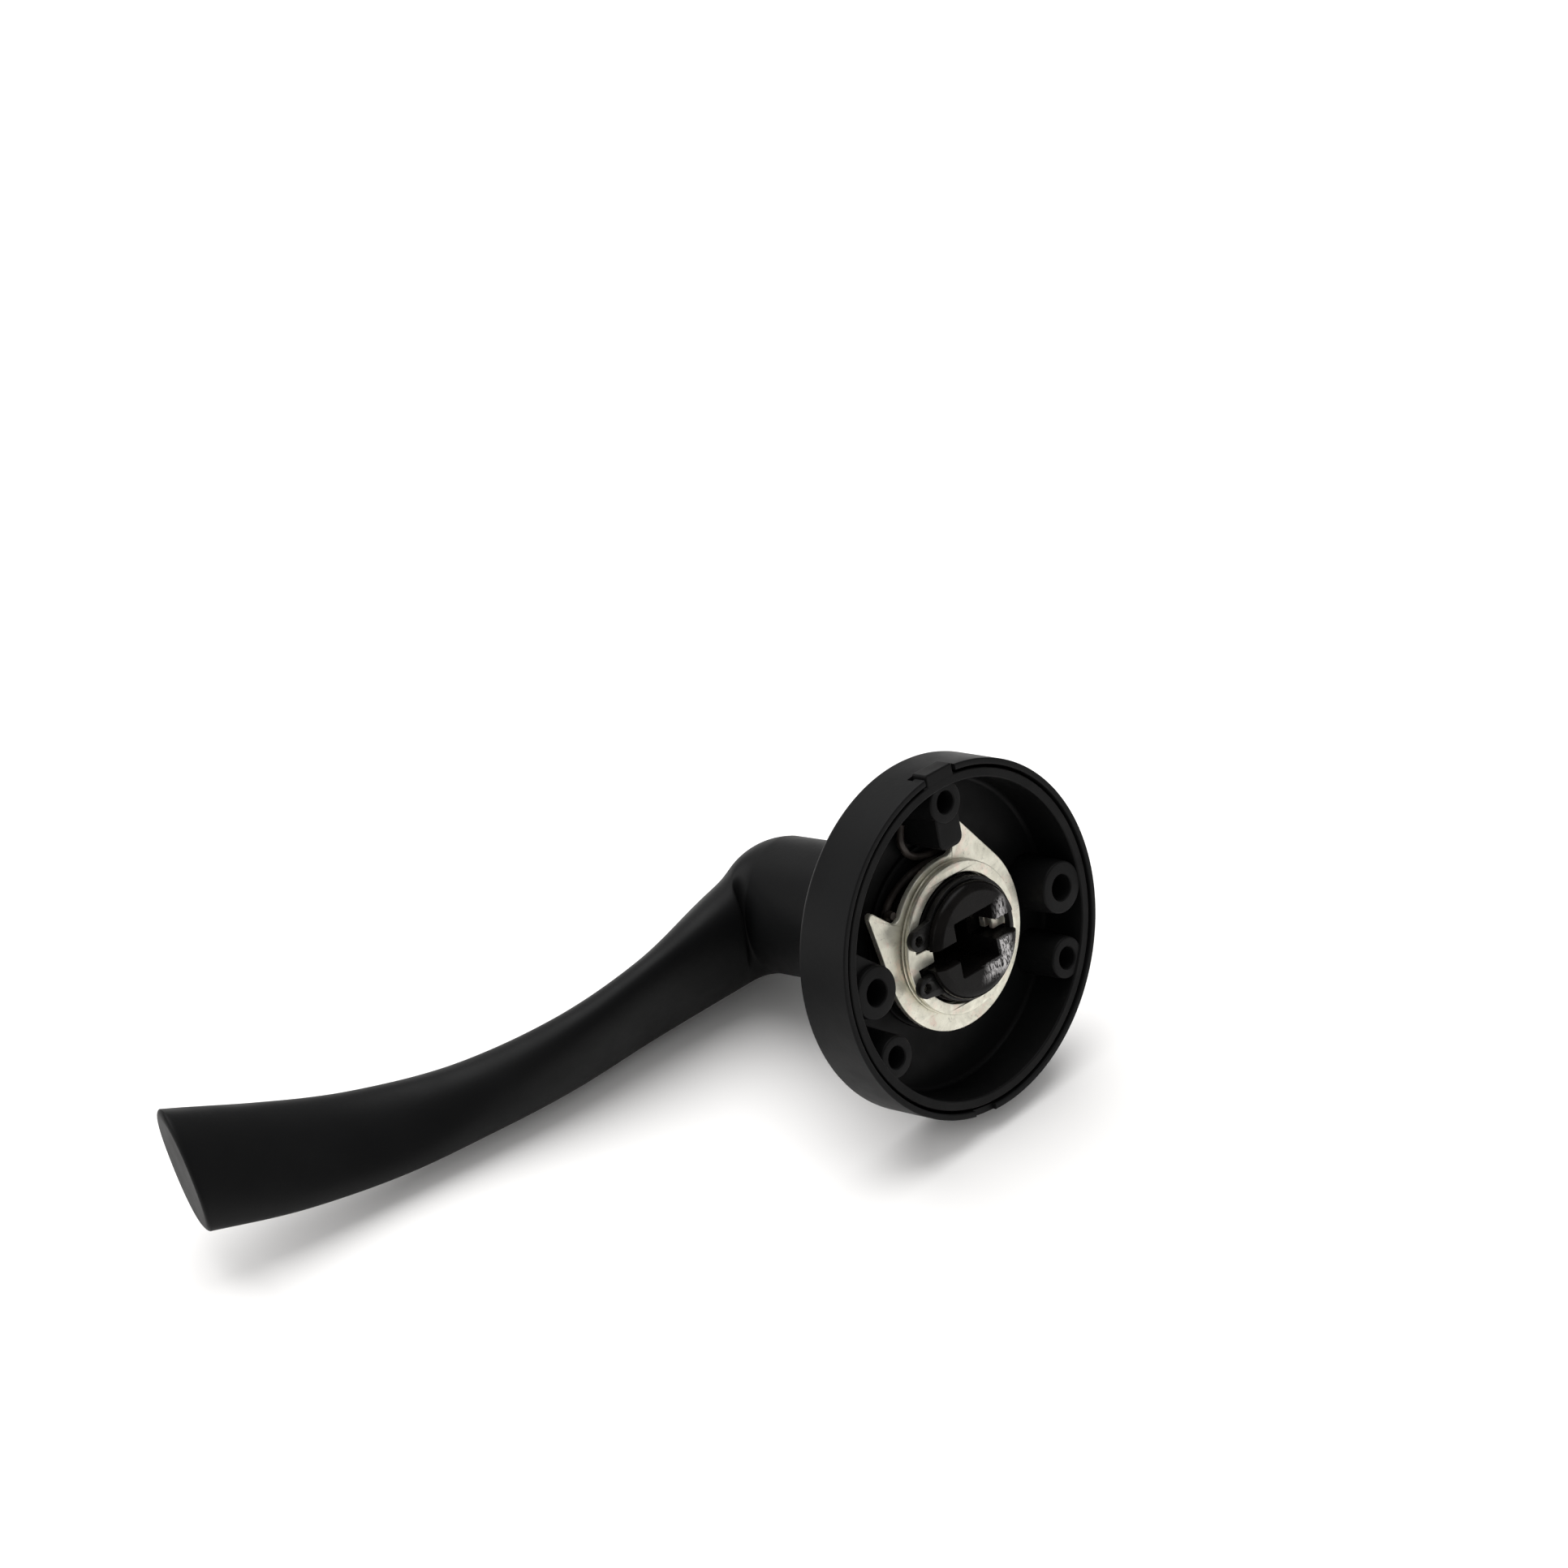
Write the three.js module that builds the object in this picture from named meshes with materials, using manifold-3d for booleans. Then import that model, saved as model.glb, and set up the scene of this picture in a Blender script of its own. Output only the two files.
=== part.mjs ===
// Door lever handle on a sprung round rose, millimetres.
// The origin is the centre of the rose's mounting face, on the spindle axis.
// +Y points into the door, +Z is up on the door and the lever reaches toward -X.
import * as THREE from 'three';
import { mergeVertices } from 'three/addons/utils/BufferGeometryUtils.js';
import Module from 'manifold-3d';

const wasm = await Module();
wasm.setup();

// Rose cover: a thin cup that clips over the base from the room side.
const COVER = { radius: 25.2, depth: 8.9, wall: 0.9, face: 0.5, edge: 0.8, bore: 10.1 };
const COVER_NOTCH = { from: -3.45, to: 2.6, depth: 2.9 };
const COVER_PRY_SLOT = { from: -5.5, to: -1.5, depth: 0.7 };

// Rose base: ring, floor, hub collar, screw bosses and the stop block.
const RING = { outer: 23.9, inner: 22.5, top: -0.2 };
const FLOOR = { top: -7.3, bottom: -8.1 };
const COLLAR = { outer: 10.05, inner: 9.15, top: -4.8 };
const BOLT_BOSS = { radius: 3.75, hole: 1.9, spread: 19, top: -0.4 };
const SCREW_BOSS = { radius: 3, hole: 1.6, pitch: 20.4, top: -0.4 };
const STOP_BLOCK = { from: -2.35, to: 2.25, low: -13.7, top: -0.6, corner: 1.3 };
const RIM_TAB = { from: -3, to: 2.2, reach: 25.4, depth: 2.7, root: 23.1 };
const CORNER_WEB = { inner: [-17.2, -3.4], outer: [-22.0, -7.4], wall: [-23.1, -2.0], top: -1.2 };

// Neck of the lever: keyed end inside the rose, round neck on the room side.
const NECK = { inner: 8.85, outer: 9.8, end: 1.05, dome: 1.4, shoulder: -8.4, root: -16, rings: [-12, -20] };
const SOCKET = { side: 8, bottom: -24 };
const KEY_SLOT = { width: 3, bottom: -4.9 };
const CLIP_GROOVE = { radius: 8.05, top: -0.4, bottom: -2.0 };

// Stack on the neck end, from the door side inward.
const CIRCLIP = { inner: 8.35, outer: 9, top: -0.7, thickness: 1.0, gap: 4 };
const CIRCLIP_LUG = { radius: 1.5, hole: 0.7, pitch: 10 };
const KEYED_WASHER = { outer: 10.8, top: -2.0, thickness: 0.7 };
const WAVE_WASHER = { bore: 9.3, outer: 10.9, middle: -3.1, thickness: 0.25, wave: 0.1, waves: 3 };
const STOP_PLATE = { radius: 13.3, top: -3.5, thickness: 1.0, notch: 11.6, corner: 1.2 };
const HORN = { reach: 17.5, tip: 0.6, edge: 2.55, axis: 24.3 };
const KEY_TAB = { width: 2.4, reach: 6, bore: 9.2 };

// Return spring: about 1.8 turns, one leg on the stop block, one in the left horn's corner.
const SPRING = { wire: 1.1, lowRadius: 11.6, highRadius: 10.9, lowLevel: -6.45, highLevel: -5.35 };
const SPRING_LEG = [
  [-3.4, -17.6], [-3.85, -16.4], [-3.95, -15], [-3.3, -13.4], [-1.9, -12.3], [-0.2, -11.75],
];
const SPRING_TURNS = { start: 14, rise: 305, flat: 370, end: 646 };
const SPRING_END = { radius: 12.5, angle: 665, top: -3.9 };

// Grip of the lever: centre, half height, half depth and lean of each section.
// A positive lean moves the upper edge of a section toward the door.
const ELBOW = { start: -31, pivot: [-10.8, -34.7], fillet: 1, crown: 0.28, crownFrom: -14, steps: 12 };
const ELBOW_TURN = { reach: 0.68, height: 0.57, corner: 0.625 };
const GRIP = [
  { x: -11, y: -39.53, z: 1.66, height: 8.64, depth: 6.2, lean: -0.41 },
  { x: -26, y: -40.1, z: 4.33, height: 7.67, depth: 5.5, lean: -0.68 },
  { x: -41, y: -41.4, z: 6.3, height: 6.3, depth: 4.9, lean: -0.48 },
  { x: -56, y: -44.6, z: 7.2, height: 5.4, depth: 4.8, lean: 0 },
  { x: -71, y: -47.5, z: 6.2, height: 5.9, depth: 4.9, lean: 0.5 },
  { x: -86, y: -49.2, z: 3.1, height: 7.2, depth: 5.0, lean: 0.58 },
  { x: -100.4, y: -50.4, z: -1.1, height: 8.4, depth: 5.1, lean: 0.36 },
];
const GRIP_STEPS = 30;
const GRIP_SIDES = 40;
const GRIP_SQUARENESS = 2.25;
const TIP = { tiltDepth: -0.36, tiltHeight: 0.09, from: 0.75, edge: 0.7 };

const radians = THREE.MathUtils.degToRad;

// Turns a closed geometry into a solid that can be joined and cut.
function solid(geometry) {
  const shell = geometry.index ? geometry.toNonIndexed() : geometry.clone();
  shell.deleteAttribute('normal');
  shell.deleteAttribute('uv');
  const merged = mergeVertices(shell, 1e-4);
  const index = merged.index.array;
  const triangles = [];
  for (let i = 0; i < index.length; i += 3) {
    const [a, b, c] = [index[i], index[i + 1], index[i + 2]];
    if (a !== b && b !== c && c !== a) triangles.push(a, b, c);
  }
  return new wasm.Manifold(new wasm.Mesh({
    numProp: 3,
    vertProperties: new Float32Array(merged.attributes.position.array),
    triVerts: new Uint32Array(triangles),
  }));
}

function geometryOf(body) {
  const mesh = body.getMesh();
  const geometry = new THREE.BufferGeometry();
  geometry.setAttribute('position', new THREE.BufferAttribute(new Float32Array(mesh.vertProperties), 3));
  geometry.setIndex(new THREE.BufferAttribute(new Uint32Array(mesh.triVerts), 1));
  geometry.computeVertexNormals();
  return geometry;
}

// A closed profile of [radius, y] points turned about the spindle axis.
function turned(profile, segments = 64) {
  const points = profile.map(([radius, y]) => new THREE.Vector2(radius, y));
  const first = profile[0];
  const last = profile[profile.length - 1];
  const closed = first[0] === 0 && last[0] === 0;
  if (!closed) points.push(points[0].clone());
  return solid(new THREE.LatheGeometry(points, segments));
}

function tube(inner, outer, bottom, top, segments = 64) {
  return turned([[inner, bottom], [outer, bottom], [outer, top], [inner, top]], segments);
}

// A flat outline in X and Z, from the level `top` down by `thickness`.
function plate(shape, top, thickness, curveSegments = 24) {
  const options = { depth: thickness, bevelEnabled: false, curveSegments };
  return solid(new THREE.ExtrudeGeometry(shape, options).rotateX(Math.PI / 2).translate(0, top, 0));
}

function post(x, z, radius, bottom, top, segments = 28) {
  return solid(new THREE.CylinderGeometry(radius, radius, top - bottom, segments)
    .translate(x, (top + bottom) / 2, z));
}

function block(x0, x1, y0, y1, z0, z1) {
  return solid(new THREE.BoxGeometry(x1 - x0, y1 - y0, z1 - z0)
    .translate((x0 + x1) / 2, (y0 + y1) / 2, (z0 + z1) / 2));
}

function outline(points) {
  return new THREE.Shape(points.map(([x, z]) => new THREE.Vector2(x, z)));
}

// Point at an angle measured from -Z (the stop block) toward +X.
function polar(radius, degrees) {
  const angle = radians(degrees);
  return [radius * Math.sin(angle), -radius * Math.cos(angle)];
}

function arc(centre, radius, from, to, steps) {
  const points = [];
  for (let i = 0; i <= steps; i += 1) {
    const [x, z] = polar(radius, from + ((to - from) * i) / steps);
    points.push([centre[0] + x, centre[1] + z]);
  }
  return points;
}

function roseCover() {
  const { radius, depth, wall, face, edge, bore } = COVER;
  const profile = [
    [bore, -depth],
    [radius - edge, -depth],
    [radius - edge * 0.3, -depth + edge * 0.3],
    [radius, -depth + edge],
    [radius, 0],
    [radius - wall, 0],
    [radius - wall, -depth + face],
    [bore, -depth + face],
  ];
  const notch = block(COVER_NOTCH.from, COVER_NOTCH.to, -COVER_NOTCH.depth, 1, -radius - 1, -radius + 3);
  const slot = COVER_PRY_SLOT;
  const prySlot = block(slot.from, slot.to, -slot.depth, 1, radius - 3, radius + 1);
  return turned(profile, 72).subtract(notch).subtract(prySlot);
}

function stopBlock() {
  const { from, to, low, top, corner } = STOP_BLOCK;
  const middle = (from + to) / 2;
  const points = [
    [from, -SCREW_BOSS.pitch],
    [to, -SCREW_BOSS.pitch],
    ...arc([to - corner, low - corner], corner, 90, 180, 5),
    [middle, low],
    ...arc([from + corner, low - corner], corner, 180, 270, 5),
  ];
  return plate(outline(points), top, top - FLOOR.bottom);
}

function roseBase() {
  let body = turned([
    [COLLAR.inner, FLOOR.bottom],
    [RING.outer, FLOOR.bottom],
    [RING.outer, RING.top],
    [RING.inner, RING.top],
    [RING.inner, FLOOR.top],
    [COLLAR.outer, FLOOR.top],
    [COLLAR.outer, COLLAR.top],
    [COLLAR.inner, COLLAR.top],
  ], 72);
  const { from, to, reach, depth, root } = RIM_TAB;
  const tab = block(from, to, RING.top - depth, RING.top, -reach, -root);
  const web = plate(outline([CORNER_WEB.inner, CORNER_WEB.wall, CORNER_WEB.outer]),
    CORNER_WEB.top, CORNER_WEB.top - FLOOR.bottom);
  body = body.add(stopBlock()).add(tab).add(web);
  const bosses = [
    [BOLT_BOSS.spread, 0, BOLT_BOSS],
    [-BOLT_BOSS.spread, 0, BOLT_BOSS],
    ...[0, 120, 240].map((angle) => [...polar(SCREW_BOSS.pitch, angle), SCREW_BOSS]),
  ];
  for (const [x, z, boss] of bosses) body = body.add(post(x, z, boss.radius, FLOOR.bottom, boss.top));
  for (const [x, z, boss] of bosses) body = body.subtract(post(x, z, boss.hole, FLOOR.bottom - 1, 1, 20));
  return body;
}

// Two tabs that reach into the neck's slots from a round bore.
function keyedBore(top, thickness) {
  const half = KEY_TAB.width / 2;
  const bottom = top - thickness - 1;
  const bore = post(0, 0, KEY_TAB.bore, bottom, top + 1, 64);
  const right = block(KEY_TAB.reach, KEY_TAB.bore + 0.5, bottom, top + 1, -half, half);
  const left = block(-KEY_TAB.bore - 0.5, -KEY_TAB.reach, bottom, top + 1, -half, half);
  return bore.subtract(right).subtract(left);
}

// Half outline of the stop plate, from the notch to the far side, as if horn A stood alone.
function hornSide() {
  const { radius, notch, corner } = STOP_PLATE;
  const filletX = HORN.edge - corner;
  const filletAngle = Math.asin(filletX / (notch + corner));
  const fillet = [filletX, -(notch + corner) * Math.cos(filletAngle)];
  const tipX = HORN.edge + HORN.tip;
  const tipReach = HORN.reach - HORN.tip;
  const tipAngle = Math.asin(tipX / tipReach);
  const tip = [tipX, -tipReach * Math.cos(tipAngle)];
  const tangent = THREE.MathUtils.radToDeg(tipAngle + Math.acos((radius - HORN.tip) / tipReach));
  return [
    ...arc([0, 0], notch, -HORN.axis, THREE.MathUtils.radToDeg(filletAngle), 8),
    ...arc(fillet, corner, 180 + THREE.MathUtils.radToDeg(filletAngle), 90, 6).slice(1),
    ...arc(tip, HORN.tip, -90, tangent, 8),
    ...arc([0, 0], radius, tangent, 180 - HORN.axis, 18),
  ];
}

function stopPlate() {
  const side = hornSide();
  const mirror = radians(-2 * HORN.axis);
  const mirrored = side.slice(1, -1).map(([x, z]) => {
    const angle = mirror - Math.atan2(x, -z);
    const length = Math.hypot(x, z);
    return [length * Math.sin(angle), -length * Math.cos(angle)];
  });
  const shape = outline([...side, ...mirrored.reverse()]);
  return plate(shape, STOP_PLATE.top, STOP_PLATE.thickness)
    .subtract(keyedBore(STOP_PLATE.top, STOP_PLATE.thickness));
}

function keyedWasher() {
  const { outer, top, thickness } = KEYED_WASHER;
  return post(0, 0, outer, top - thickness, top, 64).subtract(keyedBore(top, thickness));
}

function waveWasher() {
  const { bore, outer, middle, thickness, wave, waves } = WAVE_WASHER;
  const half = thickness / 2;
  const profile = [[bore, -half], [outer, -half], [outer, half], [bore, half], [bore, -half]];
  const points = profile.map(([radius, y]) => new THREE.Vector2(radius, y));
  const geometry = new THREE.LatheGeometry(points, 60);
  const position = geometry.attributes.position;
  for (let i = 0; i < position.count; i += 1) {
    const angle = Math.atan2(position.getX(i), position.getZ(i));
    position.setY(i, position.getY(i) + middle + wave * Math.cos(waves * angle));
  }
  return solid(geometry);
}

// Open ring with a drilled lug on each side of its gap.
function circlip() {
  const { inner, outer, top, thickness, gap } = CIRCLIP;
  const { radius, hole, pitch } = CIRCLIP_LUG;
  const bottom = top - thickness;
  const lugZ = gap / 2 + radius;
  const lugX = -Math.sqrt(pitch ** 2 - lugZ ** 2);
  let body = tube(inner, outer, bottom, top);
  for (const z of [-lugZ, lugZ]) body = body.add(post(lugX, z, radius, bottom, top, 20));
  for (const z of [-lugZ, lugZ]) body = body.subtract(post(lugX, z, hole, bottom - 1, top + 1, 14));
  return body
    .subtract(block(-outer - 1, -inner + 2, bottom - 1, top + 1, -gap / 2, gap / 2))
    .subtract(post(0, 0, inner, bottom - 1, top + 1, 64));
}

// Centre line of the spring wire: leg on the stop block, low turn, rise, high turn, upturned end.
function springPath() {
  const points = SPRING_LEG.map(([x, z]) => new THREE.Vector3(x, SPRING.lowLevel, z));
  for (let angle = SPRING_TURNS.start; angle <= SPRING_TURNS.end; angle += 8) {
    const rise = THREE.MathUtils.smoothstep(angle, SPRING_TURNS.rise, SPRING_TURNS.flat);
    const radius = THREE.MathUtils.lerp(SPRING.lowRadius, SPRING.highRadius, rise);
    const [x, z] = polar(radius, angle);
    points.push(new THREE.Vector3(x, THREE.MathUtils.lerp(SPRING.lowLevel, SPRING.highLevel, rise), z));
  }
  const [bendX, bendZ] = polar((SPRING.highRadius + SPRING_END.radius) / 2, SPRING_END.angle - 9);
  const [endX, endZ] = polar(SPRING_END.radius, SPRING_END.angle);
  points.push(new THREE.Vector3(bendX, SPRING.highLevel, bendZ));
  points.push(new THREE.Vector3(endX, SPRING.highLevel + 0.25, endZ));
  points.push(new THREE.Vector3(endX, SPRING_END.top, endZ));
  return new THREE.CatmullRomCurve3(points, false, 'centripetal');
}

function torsionSpring() {
  const section = new THREE.Shape();
  section.absarc(0, 0, SPRING.wire / 2, 0, 2 * Math.PI);
  const options = { extrudePath: springPath(), steps: 150, curveSegments: 4, bevelEnabled: false };
  return solid(new THREE.ExtrudeGeometry(section, options));
}

// Corner of a rounded section: the sign and size of one coordinate on a superellipse.
function rounded(value, squareness) {
  return Math.sign(value) * Math.abs(value) ** (2 / squareness);
}

// Round section of the neck at a level: [distance from its -X side, z].
// It swells a little on the -Z side toward the elbow.
function neckOutline(angle, y) {
  const share = (ELBOW.crownFrom - y) / (ELBOW.crownFrom - ELBOW.start);
  const swell = Math.sin(angle) < 0 ? ELBOW.crown * THREE.MathUtils.smoothstep(share, 0, 1) : 0;
  return [NECK.outer * (1 + Math.cos(angle)), (NECK.outer + swell) * Math.sin(angle)];
}

// Leaning section of the grip as offsets [toward the room, z] from its centre.
function gripOutline(section, angle) {
  const across = rounded(Math.cos(angle), GRIP_SQUARENESS);
  const up = rounded(Math.sin(angle), GRIP_SQUARENESS);
  const straight = Math.sqrt(1 - section.lean ** 2);
  return [section.depth * (straight * across - section.lean * up), section.height * up];
}

function smoothCurve(points) {
  return new THREE.CatmullRomCurve3(points, false, 'catmullrom');
}

function gripSection(along) {
  const centre = smoothCurve(GRIP.map((s) => new THREE.Vector3(s.x, s.y, s.z)));
  const shape = smoothCurve(GRIP.map((s) => new THREE.Vector3(s.height, s.depth, s.lean)));
  const middle = centre.getPoint(along);
  const size = shape.getPoint(along);
  return { x: middle.x, y: middle.y, z: middle.z, height: size.x, depth: size.y, lean: size.z };
}

// Rings of points from the neck, round the elbow and along the grip to the tip.
function leverRings() {
  const rings = [];
  const angles = Array.from({ length: GRIP_SIDES }, (_, i) => (2 * Math.PI * i) / GRIP_SIDES);
  const [pivotX, pivotY] = ELBOW.pivot;
  for (const y of [...NECK.rings, ELBOW.start]) {
    rings.push(angles.map((angle) => {
      const [out, z] = neckOutline(angle, y);
      return new THREE.Vector3(out - NECK.outer, y, z);
    }));
  }
  const first = gripSection(0);
  for (let i = 1; i < ELBOW.steps; i += 1) {
    const share = i / ELBOW.steps;
    const turn = (share * Math.PI) / 2;
    const eased = THREE.MathUtils.smoothstep(share, 0, 1);
    const across = Math.cos(turn) ** ELBOW_TURN.corner;
    const away = Math.sin(turn) ** ELBOW_TURN.corner;
    rings.push(angles.map((angle) => {
      const [neckOut, neckZ] = neckOutline(angle, ELBOW.start);
      const [gripOut, gripZ] = gripOutline(first, angle);
      const gripReach = pivotY - first.y + gripOut;
      const reach = THREE.MathUtils.lerp(ELBOW.fillet + neckOut, gripReach, eased ** ELBOW_TURN.reach);
      const z = THREE.MathUtils.lerp(neckZ, first.z + gripZ, eased ** ELBOW_TURN.height);
      return new THREE.Vector3(pivotX + reach * across, pivotY - reach * away, z);
    }));
  }
  for (let i = 0; i <= GRIP_STEPS; i += 1) {
    const along = i / GRIP_STEPS;
    const section = gripSection(along);
    const tilt = THREE.MathUtils.smoothstep(along, TIP.from, 1);
    const shrinks = i === GRIP_STEPS ? [1, 1 - TIP.edge / section.depth] : [1];
    for (const shrink of shrinks) {
      rings.push(angles.map((angle) => {
        const [out, up] = gripOutline(section, angle).map((offset) => offset * shrink);
        const lean = TIP.tiltDepth * -out + TIP.tiltHeight * up;
        const edge = shrink < 1 ? -TIP.edge : 0;
        return new THREE.Vector3(section.x + tilt * lean + edge, section.y - out, section.z + up);
      }));
    }
  }
  return rings;
}

// Closed skin over a row of rings with the same number of points.
function loft(rings) {
  const sides = rings[0].length;
  const position = rings.flat().flatMap((point) => point.toArray());
  const triangles = [];
  for (let ring = 0; ring < rings.length - 1; ring += 1) {
    for (let i = 0; i < sides; i += 1) {
      const a = ring * sides + i;
      const b = ring * sides + ((i + 1) % sides);
      triangles.push(a, b, a + sides, b, b + sides, a + sides);
    }
  }
  for (const [ring, flip] of [[0, false], [rings.length - 1, true]]) {
    const sum = rings[ring].reduce((total, point) => total.add(point), new THREE.Vector3());
    const centre = sum.divideScalar(sides);
    const hub = position.length / 3;
    position.push(...centre.toArray());
    for (let i = 0; i < sides; i += 1) {
      const a = ring * sides + i;
      const b = ring * sides + ((i + 1) % sides);
      triangles.push(...(flip ? [hub, a, b] : [hub, b, a]));
    }
  }
  const geometry = new THREE.BufferGeometry();
  geometry.setAttribute('position', new THREE.Float32BufferAttribute(position, 3));
  geometry.setIndex(triangles);
  return geometry;
}

function lever() {
  const { inner, outer, end, dome, shoulder, root } = NECK;
  const crown = [0, 30, 60, 90].map((degrees) => [
    inner - dome + dome * Math.cos(radians(degrees)),
    end - dome + dome * Math.sin(radians(degrees)),
  ]);
  const neck = turned([
    [0, root],
    [outer, root],
    [outer, shoulder],
    [inner, shoulder],
    ...crown,
    [0, end],
  ], 40);
  const half = SOCKET.side / 2;
  const groove = tube(CLIP_GROOVE.radius, inner + 1, CLIP_GROOVE.bottom, CLIP_GROOVE.top, 40);
  return neck
    .add(solid(loft(leverRings())))
    .subtract(block(-half, half, SOCKET.bottom, 2, -half, half))
    .subtract(block(-inner - 1, inner + 1, KEY_SLOT.bottom, 2, -KEY_SLOT.width / 2, KEY_SLOT.width / 2))
    .subtract(groove);
}

const powderCoat = { color: 0x1b1c1e, roughness: 0.55, metalness: 0.1 };
const blackPlastic = { color: 0x141415, roughness: 0.5, metalness: 0.0 };
const zincPlate = { color: 0xc9c6bd, roughness: 0.35, metalness: 0.9 };
const blackSteel = { color: 0x101010, roughness: 0.4, metalness: 0.7 };
const springSteel = { color: 0x3a332d, roughness: 0.4, metalness: 0.8 };

const pieces = [
  ['rose_cover', roseCover(), powderCoat],
  ['rose_base', roseBase(), blackPlastic],
  ['torsion_spring', torsionSpring(), springSteel],
  ['lever', lever(), powderCoat],
  ['stop_plate', stopPlate(), zincPlate],
  ['wave_washer', waveWasher(), zincPlate],
  ['keyed_washer', keyedWasher(), zincPlate],
  ['circlip', circlip(), blackSteel],
];

const handle = new THREE.Group();
for (const [name, body, look] of pieces) {
  const mesh = new THREE.Mesh(geometryOf(body), new THREE.MeshStandardMaterial(look));
  mesh.name = name;
  handle.add(mesh);
}

export default handle;
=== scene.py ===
"""Door lever handle on a sprung round rose, lying on a table with the rose's open side in view.

The CAD frame gives every level and radius that two pieces share. Lengths in the shape functions are
millimetres and become metres where a mesh is made. +Y points into the door, +Z is up on the door
and the lever reaches toward -X.
"""
import math

import bmesh
import bpy
from mathutils import Matrix, Vector
from mathutils.geometry import tessellate_polygon


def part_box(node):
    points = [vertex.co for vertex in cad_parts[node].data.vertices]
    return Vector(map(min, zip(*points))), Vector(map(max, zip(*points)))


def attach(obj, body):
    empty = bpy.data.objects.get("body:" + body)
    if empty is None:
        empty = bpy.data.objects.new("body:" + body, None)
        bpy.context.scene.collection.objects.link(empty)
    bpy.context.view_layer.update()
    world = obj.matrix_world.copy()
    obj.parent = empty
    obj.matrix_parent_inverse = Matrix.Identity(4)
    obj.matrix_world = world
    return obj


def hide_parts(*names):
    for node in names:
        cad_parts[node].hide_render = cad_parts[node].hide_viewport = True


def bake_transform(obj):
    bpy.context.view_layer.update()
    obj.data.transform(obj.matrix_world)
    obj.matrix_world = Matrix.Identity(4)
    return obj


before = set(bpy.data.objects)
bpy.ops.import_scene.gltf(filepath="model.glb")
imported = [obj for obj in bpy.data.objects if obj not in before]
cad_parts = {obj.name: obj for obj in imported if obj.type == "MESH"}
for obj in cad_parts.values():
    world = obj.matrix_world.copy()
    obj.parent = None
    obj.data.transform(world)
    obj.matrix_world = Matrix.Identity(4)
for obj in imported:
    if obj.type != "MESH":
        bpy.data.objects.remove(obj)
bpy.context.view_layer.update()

MM = 0.001
MICRON = 0.000001
TAU = 2 * math.pi


def node_size(node):
    """Lowest and highest corner of a CAD node in millimetres."""
    low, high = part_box(node)
    return low / MM, high / MM


# Sizes that the CAD nodes give.
COVER_LOW, COVER_HIGH = node_size("rose_cover")
BASE_LOW, BASE_HIGH = node_size("rose_base")
PLATE_LOW, PLATE_HIGH = node_size("stop_plate")
WASHER_LOW, WASHER_HIGH = node_size("keyed_washer")
WAVE_LOW, WAVE_HIGH = node_size("wave_washer")
CLIP_LOW, CLIP_HIGH = node_size("circlip")
NECK_END = node_size("lever")[1].y

# Rose cover. Corner radii go from the bore's front edge round the rim.
COVER_WALL, COVER_FACE, COVER_BORE = 0.9, 0.5, 10.1
COVER_CORNERS = (0.18, 0.8, 0.22, 0.18, 0.3, 0.15)
NOTCH = {"from": -3.45, "to": 2.6, "depth": 2.9, "undercut": 0.55, "undercut_height": 1.1}
PRY_SLOT = {"from": -5.5, "to": -1.5, "depth": 0.7}

# Rose base. Corner radii go from the collar's lower edge round the ring.
RING_OUTER, RING_INNER, RING_DRAFT, RING_TOP = 23.9, 22.5, 0.25, BASE_HIGH.y
FLOOR_TOP, FLOOR_BOTTOM = -7.3, BASE_LOW.y
COLLAR_OUTER, COLLAR_INNER, COLLAR_TOP = 10.05, 9.15, -4.8
BASE_CORNERS = (0.2, 0.3, 0.22, 0.25, 0.7, 0.3, 0.15, 0.15)
BOSS_TOP, BOSS_DRAFT, BOSS_RIM, BOSS_MOUTH = -0.4, 0.35, 0.3, 0.15
BOLT_BOSS = {"radius": 3.75, "hole": 1.9}
BOLT_PITCH = 19
SCREW_BOSS = {"radius": 3.0, "hole": 1.6}
SCREW_PITCH = 20.4
STOP_BLOCK = {"from": -2.35, "to": 2.25, "low": -13.7, "top": -0.6, "corner": 1.3, "edge": 0.25}
RIM_TAB = {"from": -3.0, "to": 2.2, "depth": 2.7, "root": 23.1, "corner": 0.25, "edge": 0.2}
CORNER_WEB = [(-17.2, -3.4), (-23.1, -2.0), (-22.0, -7.4)]
CORNER_WEB_TOP, CORNER_WEB_EDGE = -1.2, 0.1
SPRING_GUIDE = {"inner": 12.7, "outer": 13.4, "top": -6.7, "edge": 0.15}

# Lever: keyed end, neck, elbow and grip. A section of the grip is its centre's X, Y and Z, its half
# height, half depth and lean.
NECK_LAND, NECK_INNER, NECK_OUTER = 8.3, 8.85, 9.8
NECK_DOME, NECK_SHOULDER = 1.4, -8.4
SHOULDER_ROOT, SHOULDER_BEVEL, SHOULDER_RIM = 0.15, 0.06, 0.2
SOCKET_HALF, SOCKET_BOTTOM, SLOT_HALF, SLOT_BOTTOM = 4.0, -24.0, 1.5, -4.9
MOUTH_FLARE, MOUTH_CORNER = 0.12, 0.25
GROOVE_RADIUS, GROOVE_TOP, GROOVE_BOTTOM, GROOVE_BEVEL = 8.05, -0.4, -2.0, 0.08
ELBOW_START = -31.0
ELBOW_PIVOT = (-10.8, -34.7)
ELBOW_FILLET = 1.0
ELBOW_CROWN, ELBOW_CROWN_FROM = 0.28, -14.0
ELBOW_TURN = {"reach": 0.68, "height": 0.57, "corner": 0.625}
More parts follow.
